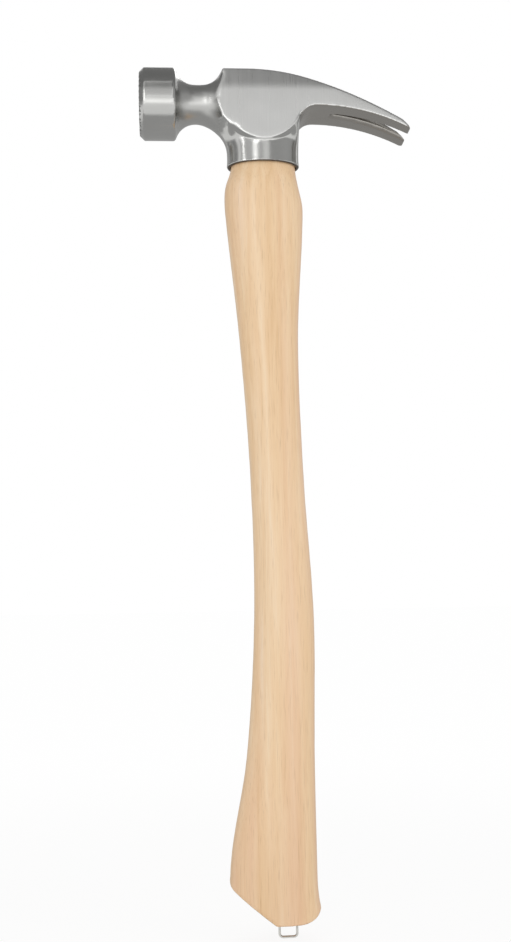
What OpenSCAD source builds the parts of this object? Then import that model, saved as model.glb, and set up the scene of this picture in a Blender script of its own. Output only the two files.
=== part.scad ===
// Framing hammer with a milled face, straight claws and a curved wooden handle.
// Millimetres. The origin is the centre of the striking face, on the poll's axis.
// +X runs from the face to the claws, +Z runs up away from the handle, Y is across the cheeks.

/* [Overall] */
// Length from the top of the poll to the end of the handle
overall_length = 462; // [400:1:520]
// Length of the head from the striking face to the claw tips
head_length = 150; // [142:1:165]

/* [Poll and neck] */
// Diameter of the poll
poll_d = 39.5; // [36:0.5:44]
// Length of the poll from the striking face to its shoulder
poll_length = 20; // [16:0.5:24]
// Length of the bevel round the striking face
face_bevel = 2.6; // [1.5:0.1:4]
// Diameter of the neck at its thinnest
neck_d = 21.4; // [20:0.2:25]
// Radius of the hollow on each side of the neck
neck_hollow = 11.3; // [10.5:0.1:13]
// Straight length between the two hollows of the neck
neck_run = 4; // [1:0.5:6]

/* [Milled face] */
// Distance from one row of teeth to the next
tooth_pitch = 3.3; // [2.8:0.1:5]
// Depth of the grooves between the teeth
tooth_depth = 1.1; // [0.6:0.1:1.3]

/* [Cheeks and socket] */
// Width across the flat cheeks, and across the claws
cheek_w = 28; // [27.8:0.2:32]
// Height of the flat top above the poll's axis
crown_h = 16; // [14:0.5:18]
// Distance from the striking face to the axis of the eye
eye_x = 68.4; // [68:0.1:74]
// Length of the socket along the head
socket_l = 40.4; // [37:0.2:42]
// Width of the socket across the head
socket_w = 27.4; // [25:0.2:27.6]
// Depth of the socket's rim below the poll's axis
socket_drop = 37; // [34:0.5:42]
// Wall of the socket at its rim
socket_wall = 1.8; // [1.6:0.1:3]
// Bevel round the socket's rim
rim_bevel = 0.7; // [0.3:0.1:1.2]
// Depth of the cheeks' lowest point below the poll's axis
cheek_drop = 24.2; // [22:0.2:27]
// Depth of the cheeks' front corner, over the socket, below the poll's axis
corner_drop = 16.5; // [14:0.5:19]
// Angle at which the cheeks' lower edge slopes into the socket
cheek_slope = 35; // [20:1:45]
// Length of the eye at the top of the head
eye_top_l = 30; // [26:0.5:32]
// Radius of the web between the neck and the front of the socket
web_r = 20; // [16:0.5:22]
// How far the round of the web stands out between the slopes that run up to the cheeks
web_ridge = 1.5; // [0.5:0.1:3]
// How much larger the web's radius is at the cheeks
web_flare = 5.3; // [4:0.1:6]

/* [Claws] */
// Distance past the eye's axis, towards the face, at which the flat top starts to fall
crown_lead = 8.7; // [6:0.1:16]
// Radius of the falling crown
crown_r = 108; // [90:2:140]
// Angle at which the crown runs into the claws
crown_angle = 18; // [14:1:22]
// Radius of the claws' upper side
claw_r = 270; // [230:5:420]
// Depth of the claws' hollow underside below the poll's axis
throat_drop = 5.4; // [4:0.2:7]
// Radius between the socket's back and the claws' underside
throat_r = 9; // [4:0.5:11]
// Radius of the claws' underside
claw_under_r = 112; // [100:2:130]
// Length of the bevel on the upper side of the claw tips
tip_bevel = 4.5; // [2:0.5:7]
// Thickness left at the claw tips
tip_t = 1.2; // [0.8:0.1:2]
// Radius of the claw tips' outer corners
tip_corner = 2.5; // [1:0.5:5]
// Solid metal between the back of the socket and the root of the nail slot
slot_back = 20.4; // [14:0.1:26]
// Width of the nail slot at its root
slot_root_w = 2.6; // [2:0.2:4]
// Width of the nail slot at the tips
slot_tip_w = 7.4; // [5:0.2:9]
// Bevel along the underside of the nail slot
slot_bevel = 1.6; // [0.8:0.1:2]

/* [Handle] */
// Clearance of the wood in the eye and of each wedge in its cut
fit_gap = 0.15; // [0.1:0.05:0.3]
// Distance of the collar below the socket's rim
collar_drop = 11; // [8:0.5:14]
// Distance of the swell below the socket's rim
swell_drop = 24; // [18:1:34]
// Distance of the flared butt above the end of the handle
butt_rise = 19; // [16:1:30]
// Width and thickness at the collar
collar_size = [41.2, 28]; // [24:0.1:46]
// Width and thickness at the swell
swell_size = [43.8, 29.5]; // [26:0.1:48]
// Width and thickness at the shoulder
shoulder_size = [32.8, 24.6]; // [22:0.1:42]
// Width and thickness at the waist
waist_size = [29.4, 22.8]; // [18:0.1:36]
// Width and thickness at the belly
belly_size = [32.5, 24.5]; // [20:0.1:38]
// Width and thickness at the grip
grip_size = [36.4, 26.5]; // [22:0.1:42]
// Width and thickness at the flared butt
butt_size = [46.4, 30]; // [26:0.1:50]
// Bow of the handle towards the face at the collar
collar_bow = 1; // [0:0.1:4]
// Bow of the handle towards the claws at the shoulder
shoulder_bow = 1.3; // [0:0.1:3]
// Bow of the handle towards the claws at the waist
waist_bow = 4.3; // [0:0.1:8]
// Bow of the handle towards the claws at the belly
belly_bow = 6.5; // [0:0.1:10]
// Bow of the handle towards the claws at the grip
grip_bow = 3.3; // [-2:0.1:8]
// Bow of the handle towards the face at the butt
butt_bow = 1.7; // [0:0.1:6]
// Angle of the slanting cut across the butt
butt_angle = 38; // [30:1:45]
// Length of the flat at the end of the handle
butt_flat = 12.5; // [12.4:0.1:18]
// How much further the back of the butt stands out at the end of the handle
heel_flare = 1.8; // [0:0.1:3]
// Length and height of the rounding at the butt's back corner
heel_size = [12.4, 8]; // [5:0.1:14]
// Radius of the butt's front corner
butt_toe = 4; // [2:0.5:8]

/* [Wedges] */
// Length of the wooden wedge along the head
wood_wedge_l = 25; // [20:0.5:27]
// Thickness of the wooden wedge at its top
wood_wedge_t = 4; // [3:0.2:5]
// Thickness of the wooden wedge at its point
wood_wedge_point = 1.2; // [0.8:0.1:2]
// Depth of the wooden wedge
wood_wedge_depth = 32; // [24:1:38]
// Distance of each steel wedge from the eye's axis
steel_wedge_x = 7; // [5:0.5:9]
// Width of a steel wedge across the head
steel_wedge_w = 13; // [10:0.5:14]
// Thickness of a steel wedge at its top
steel_wedge_t = 2.4; // [1.6:0.1:3]
// Thickness of a steel wedge at its point
steel_wedge_point = 0.6; // [0.4:0.1:1]
// Depth of a steel wedge
steel_wedge_depth = 22; // [16:1:26]

/* [Hang staple] */
// Diameter of the wire
wire_d = 1.3; // [1.1:0.1:2]
// Distance of the staple's middle from the back of the butt
staple_back = 17.9; // [17.8:0.1:19]
// Distance between the centres of the legs
staple_w = 9.2; // [8:0.2:9.6]
// Height that the staple stands out of the butt
staple_out = 9.3; // [7:0.1:12]
// Depth of the legs in the wood
staple_in = 12; // [8:0.5:16]
// Bend radius at the centre of the wire
staple_bend = 1.8; // [1.6:0.1:3]
// Clearance of the legs in their holes
leg_gap = 0.1; // [0.05:0.05:0.2]

/* [Hidden] */
$fn = 96;

steel = "#b4b6b8";
hickory = "#e6c79b";
wedge_wood = "#cfa873";
far = 400;          // past every edge, for cutting tools
lap = 1;            // how far joined shapes run into each other
seam = 0.05;        // the same, where more would show

poll_r = poll_d / 2;
neck_r = neck_d / 2;
cheek_y = cheek_w / 2;
shoulder_bevel = 0.8;

// Neck: the first hollow starts at the poll's shoulder, the second ends where the cheeks start
hollow_axis_r = neck_r + neck_hollow;
shoulder_r = poll_r - shoulder_bevel;
hollow_x = poll_length + sqrt(pow(neck_hollow, 2) - pow(hollow_axis_r - shoulder_r, 2));
flare_x = hollow_x + neck_run;
body_x = flare_x + neck_hollow;

// Socket
rim_z = -socket_drop;
socket_front = eye_x - socket_l / 2;
socket_back = eye_x + socket_l / 2;
socket_flat = socket_w / socket_l;
throat_x = socket_back + throat_r;
boss_over = 1;      // how far the cheeks' rounded lower edge reaches past the socket, front and back
boss_r = socket_l / 2 + boss_over;
boss_z = boss_r - cheek_drop;
boss_back_z = boss_z - sqrt(pow(boss_r, 2) - pow(socket_l / 2, 2));
cheek_run = cheek_y * tan(cheek_slope);
web_inset = 0.3;    // how far the web's hollow side lies inside the neck and the socket
web_narrow = 1;     // how much smaller the round of the web is than the neck
web_x = socket_front + web_inset - web_r;
web_z = web_inset - neck_r - web_r;

// Eye, narrowing towards the top with one shape all the way
eye_l = socket_l - 2 * socket_wall;
eye_flat = (socket_w - 2 * socket_wall) / eye_l;

// Length of the eye at a height
function eye_length(z) = eye_l + (eye_top_l - eye_l) * (z - rim_z) / (crown_h - rim_z);

// Claws
crown_x = eye_x - crown_lead;
crown_end = [crown_x + crown_r * sin(crown_angle), crown_h - crown_r * (1 - cos(crown_angle))];
claw_centre = crown_end - claw_r * [sin(crown_angle), cos(crown_angle)];
under_centre = [throat_x, -throat_drop - claw_under_r];

// Height of the claws' underside at a distance from the face
function under_z(x) = under_centre[1] + sqrt(pow(claw_under_r, 2) - pow(x - throat_x, 2));

// Points on an arc, from one angle to another
function arc(centre, r, from, to, steps) =
    [for (i = [0:steps]) centre + r * [cos(from + (to - from) * i / steps), sin(from + (to - from) * i / steps)]];

// Angle on the claws' upper arc at a distance from the face
function claw_angle(x) = acos((x - claw_centre[0]) / claw_r);

// Angle on the claws' lower arc at a distance from the face
function under_angle(x) = acos((x - throat_x) / claw_under_r);

slot_root_x = socket_back + slot_back;
slot_length = head_length - slot_root_x;

tip_z = under_z(head_length) + tip_t;
crown_curve = concat(
    arc([crown_x, crown_h - crown_r], crown_r, 90, 90 - crown_angle, 10),
    arc(claw_centre, claw_r, 90 - crown_angle, claw_angle(head_length - tip_bevel), 12));

// Handle
butt_z = poll_r - overall_length;
swell_z = rim_z - swell_drop;
flare_z = butt_z + butt_rise;
handle_run = swell_z - flare_z;
shoulder_share = 0.2;      // places of the middle sections, as shares of the run from swell to butt
waist_share = 0.413;
belly_share = 0.62;
grip_share = 0.82;

// Width and thickness of the tenon at a height, clear of the eye all round
function tenon_size(z) = [eye_length(z) - 2 * fit_gap, eye_length(z) * eye_flat - 2 * fit_gap];

tenon_rim = tenon_size(rim_z);
tenon_top = tenon_size(crown_h + lap);

// Sections down the handle: height, bow, width, thickness
sections = [
    [rim_z, 0, tenon_rim[0], tenon_rim[1]],
    [rim_z - collar_drop, -collar_bow, collar_size[0], collar_size[1]],
    [swell_z, 0, swell_size[0], swell_size[1]],
    [swell_z - handle_run * shoulder_share, shoulder_bow, shoulder_size[0], shoulder_size[1]],
    [swell_z - handle_run * waist_share, waist_bow, waist_size[0], waist_size[1]],
    [swell_z - handle_run * belly_share, belly_bow, belly_size[0], belly_size[1]],
    [swell_z - handle_run * grip_share, grip_bow, grip_size[0], grip_size[1]],
    [flare_z, -butt_bow, butt_size[0], butt_size[1]],
    [butt_z - lap, heel_flare / 2 - butt_bow, butt_size[0] + heel_flare, butt_size[1]]];
ring_points = 40;
steps_per_section = 7;
handle_fullness = 2.35;     // 2 is an ellipse, more is squarer

// Slope of column k of the sections at section i, level at the rim and from the flared butt down
function slope(k, i) =
    (i == 0 || i >= len(sections) - 2) ? 0
    : (sections[i + 1][k] - sections[i - 1][k]) / (sections[i + 1][0] - sections[i - 1][0]);

// Column k of the sections, a share u of the way from section i to the next
function blend(k, i, u) =
    let (h = sections[i + 1][0] - sections[i][0])
    (2 * pow(u, 3) - 3 * pow(u, 2) + 1) * sections[i][k]
    + (pow(u, 3) - 2 * pow(u, 2) + u) * h * slope(k, i)
    + (3 * pow(u, 2) - 2 * pow(u, 3)) * sections[i + 1][k]
    + (pow(u, 3) - pow(u, 2)) * h * slope(k, i + 1);

// Signed power, for the rounded outline of a section
function rounded(v, n) = sign(v) * pow(abs(v), 2 / n);

// One ring of points: height, bow, width, thickness, fullness
function ring(z, bow, w, t, n) =
    [for (k = [0:ring_points - 1])
        let (a = 360 * k / ring_points)
        [eye_x + bow + w / 2 * rounded(cos(a), n), t / 2 * rounded(sin(a), n), z]];

handle_rings = concat(
    [ring(crown_h + lap, 0, tenon_top[0], tenon_top[1], 2)],
    [for (i = [0:len(sections) - 2])
        for (j = [0:steps_per_section - 1])
            let (u = j / steps_per_section, n = i == 0 ? 2 + (handle_fullness - 2) * u : handle_fullness)
            ring(sections[i][0] + (sections[i + 1][0] - sections[i][0]) * u,
                blend(1, i, u), blend(2, i, u), blend(3, i, u), n)],
    [let (end = sections[len(sections) - 1]) ring(end[0], end[1], end[2], end[3], handle_fullness)]);

butt_back = eye_x - butt_bow + butt_size[0] / 2 + heel_flare;
butt_front = eye_x - butt_bow - butt_size[0] / 2;
heel_x = butt_back - heel_size[0];
toe_x = heel_x - butt_flat;
staple_x = butt_back - staple_back;

// A side outline, drawn in X and Z, carried across the head
module across(width) {
    rotate([90, 0, 0])
        linear_extrude(width, center = true)
            children();
}

// Half section of the poll, the neck and its flare, turned about the poll's axis up to a distance from the face
module turned_poll(end) {
    rotate([0, 90, 0])
        rotate_extrude()
            difference() {
                polygon([[0, 0], [poll_r - face_bevel, 0], [poll_r, face_bevel],
                    [poll_r, poll_length - shoulder_bevel], [shoulder_r, poll_length],
                    [hollow_axis_r, poll_length], [hollow_axis_r, end], [0, end]]);
                translate([hollow_axis_r, hollow_x])
                    circle(neck_hollow);
                translate([hollow_axis_r, flare_x])
                    circle(neck_hollow);
                translate([neck_r, hollow_x])
                    square([far, neck_run]);
            }
}

// Side outline of the cheeks and claws
module side_outline() {
    polygon(concat(
        [[hollow_x, crown_h]],
        crown_curve,
        [[head_length, tip_z]],
        arc(under_centre, claw_under_r, under_angle(head_length), 90, 14),
        arc([throat_x, -throat_drop - throat_r], throat_r, 90, 180, 8),
        [[socket_back, rim_z], [hollow_x, rim_z]]));
}

// Side outline of the solid metal behind the eye's axis, above the rounded edge of the cheeks
module core_outline() {
    polygon([[eye_x - lap, far], [eye_x - lap, boss_back_z], [throat_x, boss_back_z], [throat_x, -far],
        [far, -far], [far, far]]);
}

// Solid metal between the neck's flare and the eye's axis, which slopes in below the flat of each cheek
module cheek_front() {
    translate([body_x - seam, 0, 0])
        rotate([90, 0, 90])
            linear_extrude(eye_x - body_x)
                polygon([[-cheek_y, far], [-cheek_y, -corner_drop], [0, -corner_drop - cheek_run],
                    [cheek_y, -corner_drop], [cheek_y, far]]);
}

// Rounded lower edge of the cheeks, which slopes in below the flat of each cheek to meet the socket
module cheek_edge() {
    for (side = [-1, 1])
        translate([eye_x, 0, boss_z])
            rotate([-90 * side, 0, 0])
                cylinder(cheek_y, boss_r + cheek_run, boss_r);
}

// Hollow in front of the socket and below the neck, which widens towards the cheeks
module web_hollow() {
    middle_r = web_r + web_ridge;
    side_y = cheek_y + lap;
    side_r = middle_r + (web_flare - web_ridge) * side_y / cheek_y;
    translate([web_x, 0, web_z])
        rotate([90, 0, 0])
            rotate_extrude()
                polygon([[0, -side_y], [side_r, -side_y], [middle_r, 0], [side_r, side_y], [0, side_y]]);
}

// Oval socket round the handle
module socket() {
    translate([eye_x, 0, 0])
        scale([1, socket_flat, 1])
            rotate_extrude()
                polygon([[0, rim_z], [socket_l / 2 - rim_bevel, rim_z], [socket_l / 2, rim_z + rim_bevel],
                    [socket_l / 2, -throat_drop - throat_r], [0, -throat_drop - throat_r]]);
}

// Round of the web that carries the neck's underside towards the front of the socket
module neck_web() {
    tube_r = neck_r - web_narrow;
    translate([web_x, 0, web_z])
        rotate([90, 0, 0])
            rotate_extrude(angle = 90)
                translate([web_r + tube_r, 0])
                    circle(tube_r);
}

// Eye through the head, wider at the rim
module eye() {
    translate([eye_x, 0, rim_z - lap])
        scale([1, eye_flat, 1])
            cylinder(crown_h - rim_z + 2 * lap, eye_length(rim_z - lap) / 2, eye_length(crown_h + lap) / 2);
}

// Plan outline of the nail slot, from its root at the origin to past the tips
module slot_outline() {
    root_r = slot_root_w / 2;
    tip_y = slot_tip_w / 2;
    circle(root_r);
    polygon([[0, -root_r], [2 * slot_length, root_r - 2 * tip_y], [2 * slot_length, 2 * tip_y - root_r], [0, root_r]]);
}

// Nail slot between the claws, with a bevel along its underside for the nail's head
module nail_slot() {
    root_r = slot_root_w / 2;
    root_angle = under_angle(slot_root_x);
    past_tip = under_angle(head_length) - slot_bevel;
    spread = atan((slot_tip_w - slot_root_w) / 2 / slot_length);
    translate([slot_root_x, 0, under_z(slot_root_x)])
        rotate([0, 90 - root_angle, 0]) {
            linear_extrude(far, center = true)
                slot_outline();
            translate([0, 0, -slot_bevel])
                cylinder(2 * slot_bevel, root_r + 2 * slot_bevel, root_r);
        }
    for (side = [-1, 1])
        translate([slot_root_x, 0, 0])
            rotate([0, 0, side * spread])
                translate([throat_x - slot_root_x, 0, under_centre[1]])
                    rotate([90, 0, 0])
                        rotate([0, 0, past_tip])
                            rotate_extrude(angle = root_angle - past_tip)
                                polygon([[claw_under_r + slot_bevel, -root_r], [claw_under_r + slot_bevel, root_r],
                                    [claw_under_r - slot_bevel, root_r + 2 * slot_bevel],
                                    [claw_under_r - slot_bevel, -root_r - 2 * slot_bevel]]);
}

// Metal taken off the outer corners of the claw tips, seen from above
module tip_corners() {
    for (side = [0, 1])
        mirror([0, side, 0])
            translate([head_length - tip_corner, cheek_y - tip_corner, 0])
                linear_extrude(far, center = true)
                    difference() {
                        square(2 * tip_corner);
                        circle(tip_corner);
                    }
}

// Row of V grooves, drawn across the face in one direction
module groove_row() {
    count = floor(poll_r / tooth_pitch);
    clear = 0.05;       // how far the comb of grooves stands off the tips of the teeth
    reach = tooth_depth + clear;
    places = [for (i = [-count - 1:count]) (i + 0.5) * tooth_pitch];
    rotate([0, 0, 90])
        linear_extrude(2 * poll_d, center = true)
            polygon(concat(
                [[-2 * poll_r, lap], [-2 * poll_r, clear]],
                [for (y = places) each [[y - reach, clear], [y, -tooth_depth], [y + reach, clear]]],
                [[2 * poll_r, clear], [2 * poll_r, lap]]));
}

// Crossed grooves that leave rows of pointed teeth on the striking face
module milled_face() {
    groove_row();
    rotate([90, 0, 0])
        groove_row();
}

// Everything above the top of the head
module above_crown() {
    across(far)
        polygon(concat([[-far, crown_h]], crown_curve, [[head_length, far], [-far, far]]));
}

// Thin tapered wedge that lies along X, with its taper carried on above the head and a gap added on every side
module wedge(l, t_top, t_point, depth, gap) {
    slope_t = (t_top - t_point) / depth;
    top = crown_h;
    rotate([90, 0, 90])
        linear_extrude(l + 2 * gap, center = true)
            polygon([[-t_top / 2 - gap - slope_t * top, 2 * top], [-t_point / 2 - gap, top - depth - gap],
                [t_point / 2 + gap, top - depth - gap], [t_top / 2 + gap + slope_t * top, 2 * top]]);
}

module wood_wedge_shape(gap) {
    translate([eye_x, 0, 0])
        wedge(wood_wedge_l, wood_wedge_t, wood_wedge_point, wood_wedge_depth, gap);
}

module steel_wedge_shape(side, gap) {
    translate([eye_x + side * steel_wedge_x, 0, 0])
        rotate([0, 0, 90])
            wedge(steel_wedge_w, steel_wedge_t, steel_wedge_point, steel_wedge_depth, gap);
}

module head() {
    color(steel)
        difference() {
            union() {
                turned_poll(flare_x + neck_hollow / 4);
                difference() {
                    intersection() {
                        across(cheek_w)
                            side_outline();
                        union() {
                            turned_poll(body_x);
                            cheek_front();
                            cheek_edge();
                            across(2 * cheek_w)
                                core_outline();
                        }
                    }
                    web_hollow();
                }
                socket();
                neck_web();
            }
            eye();
            nail_slot();
            tip_corners();
            milled_face();
        }
}

module handle() {
    color(hickory)
        difference() {
            polyhedron(
                [for (r = handle_rings) each r],
                concat(
                    [[for (k = [0:ring_points - 1]) k]],
                    [for (i = [0:len(handle_rings) - 2])
                        for (k = [0:ring_points - 1])
                            let (a = i * ring_points, b = a + ring_points, m = (k + 1) % ring_points)
                            each [[a + k, b + k, b + m], [a + k, b + m, a + m]]],
                    [[for (k = [ring_points - 1:-1:0]) (len(handle_rings) - 1) * ring_points + k]]));
            above_crown();
            wood_wedge_shape(fit_gap);
            steel_wedge_shape(-1, fit_gap);
            steel_wedge_shape(1, fit_gap);
            below_butt();
            for (side = [-1, 1])
                translate([staple_x + side * staple_w / 2, 0, butt_z - lap])
                    cylinder(staple_in + lap + leg_gap, d = wire_d + 2 * leg_gap, $fn = 24);
        }
}

// Everything past the end of the handle: the rounded toe, the slanting cut, the flat and the rounded heel
module below_butt() {
    graze = 8;          // angle by which each rounding stops short of running along the handle
    slant_z = butt_z + (toe_x - butt_front - butt_toe) * tan(butt_angle);
    toe = arc([butt_front + butt_toe, slant_z + butt_toe / cos(butt_angle)], butt_toe, 180 + graze,
        270 - butt_angle, 6);
    heel = [for (p = arc([0, 0], 1, -90, -graze, 10))
        [heel_x + heel_size[0] * p[0], butt_z + heel_size[1] * (1 + p[1])]];
    across(far)
        polygon(concat(
            [[butt_front - far, toe[0][1]]],
            toe,
            [[toe_x, butt_z]],
            heel,
            [[butt_back + far, heel[len(heel) - 1][1]], [butt_back + far, butt_z - far],
                [butt_front - far, butt_z - far]]));
}

module wooden_wedge() {
    color(wedge_wood)
        difference() {
            wood_wedge_shape(0);
            above_crown();
            steel_wedge_shape(-1, fit_gap);
            steel_wedge_shape(1, fit_gap);
        }
}

module steel_wedge_front() {
    color(steel)
        difference() {
            steel_wedge_shape(-1, 0);
            above_crown();
        }
}

module steel_wedge_rear() {
    color(steel)
        difference() {
            steel_wedge_shape(1, 0);
            above_crown();
        }
}

// Bent wire staple: two legs in the butt, two bends and the bar between them
module hang_staple() {
    bar_z = butt_z - staple_out + wire_d / 2;
    color(steel)
        translate([staple_x, 0, bar_z]) {
            for (side = [0, 1])
                mirror([side, 0, 0]) {
                    translate([staple_w / 2, 0, staple_bend])
                        cylinder(staple_in + staple_out - wire_d / 2 - staple_bend, d = wire_d, $fn = 24);
                    translate([staple_w / 2 - staple_bend, 0, staple_bend])
                        rotate([90, 0, 0])
                            rotate_extrude(angle = -90)
                                translate([staple_bend, 0])
                                    circle(d = wire_d, $fn = 24);
                }
            rotate([0, 90, 0])
                cylinder(staple_w - 2 * staple_bend, d = wire_d, center = true, $fn = 24);
        }
}

head();
handle();
wooden_wedge();
steel_wedge_front();
steel_wedge_rear();
hang_staple();
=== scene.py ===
"""Dresses the framing hammer: forged head, hickory handle, wedges and hang staple, in a white studio.

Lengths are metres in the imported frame. +X runs from the striking face to the claws, and +Z from the butt up
to the head.
"""

import logging
import math
from dataclasses import dataclass, field
from enum import Enum
from typing import Any

import bmesh
import bpy
from mathutils import Euler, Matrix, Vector
from mathutils.kdtree import KDTree


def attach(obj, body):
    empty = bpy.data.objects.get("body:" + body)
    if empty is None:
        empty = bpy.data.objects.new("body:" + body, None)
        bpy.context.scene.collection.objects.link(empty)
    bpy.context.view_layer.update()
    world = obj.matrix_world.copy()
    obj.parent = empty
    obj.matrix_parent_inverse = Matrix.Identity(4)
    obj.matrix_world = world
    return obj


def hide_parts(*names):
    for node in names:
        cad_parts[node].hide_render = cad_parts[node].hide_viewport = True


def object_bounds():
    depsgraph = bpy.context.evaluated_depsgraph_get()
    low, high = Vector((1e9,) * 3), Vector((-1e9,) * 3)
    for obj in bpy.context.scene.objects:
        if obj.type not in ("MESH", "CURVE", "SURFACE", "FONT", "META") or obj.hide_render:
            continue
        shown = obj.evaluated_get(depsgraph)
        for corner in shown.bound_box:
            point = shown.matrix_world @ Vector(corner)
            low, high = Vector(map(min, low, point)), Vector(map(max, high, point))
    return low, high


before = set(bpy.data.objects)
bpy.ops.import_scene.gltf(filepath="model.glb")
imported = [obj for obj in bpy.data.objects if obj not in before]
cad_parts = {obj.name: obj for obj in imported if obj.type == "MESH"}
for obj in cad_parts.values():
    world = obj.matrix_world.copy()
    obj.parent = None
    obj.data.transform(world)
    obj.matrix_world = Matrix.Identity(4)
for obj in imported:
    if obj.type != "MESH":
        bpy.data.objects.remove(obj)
CAD_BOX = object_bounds()

MM = 0.001
WELD = 0.001 * MM
LOG = logging.getLogger("hammer")


class Slot(Enum):
    """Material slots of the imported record."""

    FORGED_STEEL = "forged_steel"
    HICKORY = "hickory"
    WEDGE_WOOD = "wedge_wood"
    WEDGE_STEEL = "wedge_steel"
    WIRE = "wire"


class Zone(Enum):
    """Differently finished areas of the head, numbered as its material slots are."""

    BUFFED = 0
    CHEEK = 1
    CROWN = 2
    TEETH = 3
    CLAW_UNDERSIDE = 4
    SOCKET_MOUTH = 5


class Grain(Enum):
    """Areas of the handle, numbered as its material slots are."""

    LONG = 0
    END = 1


def to_linear(colour: str) -> tuple[float, float, float, float]:
    """Turn a colour from sRGB hex to linear light.

    Args:
        colour: "#RRGGBB".

    Returns:
        Red, green and blue in linear light, and an alpha of 1.
    """
    parts = [int(colour[i : i + 2], 16) / 255 for i in (1, 3, 5)]
    light = [p / 12.92 if p <= 0.04045 else ((p + 0.055) / 1.055) ** 2.4 for p in parts]
    return (*light, 1.0)


def add_node(
    tree: bpy.types.NodeTree,
    kind: str,
    inputs: dict[str | int, Any] | None = None,
    stops: list[tuple[float, str]] | None = None,
    **settings: Any,
) -> bpy.types.Node:
    """Add a shader node with its settings and links.

    Args:
        tree: node tree that gets the node.
        kind: the node's type, without "ShaderNode".
        inputs: for each input, by name or number, an output socket to link or a value to set.
        stops: places and hex colours of a colour ramp.
        settings: the node's own properties.

    Returns:
        The new node.
    """
    node = tree.nodes.new("ShaderNode" + kind)
    for key, value in settings.items():
        setattr(node, key, value)
    for key, value in (inputs or {}).items():
        if isinstance(value, bpy.types.NodeSocket):
            tree.links.new(value, node.inputs[key])
        else:
            node.inputs[key].default_value = value
    if stops:
        ramp = node.color_ramp
        while len(ramp.elements) < len(stops):
            ramp.elements.new(1.0)
        for element, (place, colour) in zip(ramp.elements, stops):
            element.position = place
            element.color = to_linear(colour)
    return node


def new_material(name: str) -> tuple[bpy.types.Material, bpy.types.NodeTree, bpy.types.Node]:
    """Start a material with nothing but its output.

    Args:
        name: the material's name.

    Returns:
        The material, its node tree and its output node.
    """
    material = bpy.data.materials.new(name)
    material.use_nodes = True
    tree = material.node_tree
    tree.nodes.clear()
    return material, tree, tree.nodes.new("ShaderNodeOutputMaterial")


def per_metre(size: tuple[float, float, float]) -> tuple[float, float, float]:
    """Scale of a pattern whose features have this size along each axis."""
    return tuple(1 / s for s in size)


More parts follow.
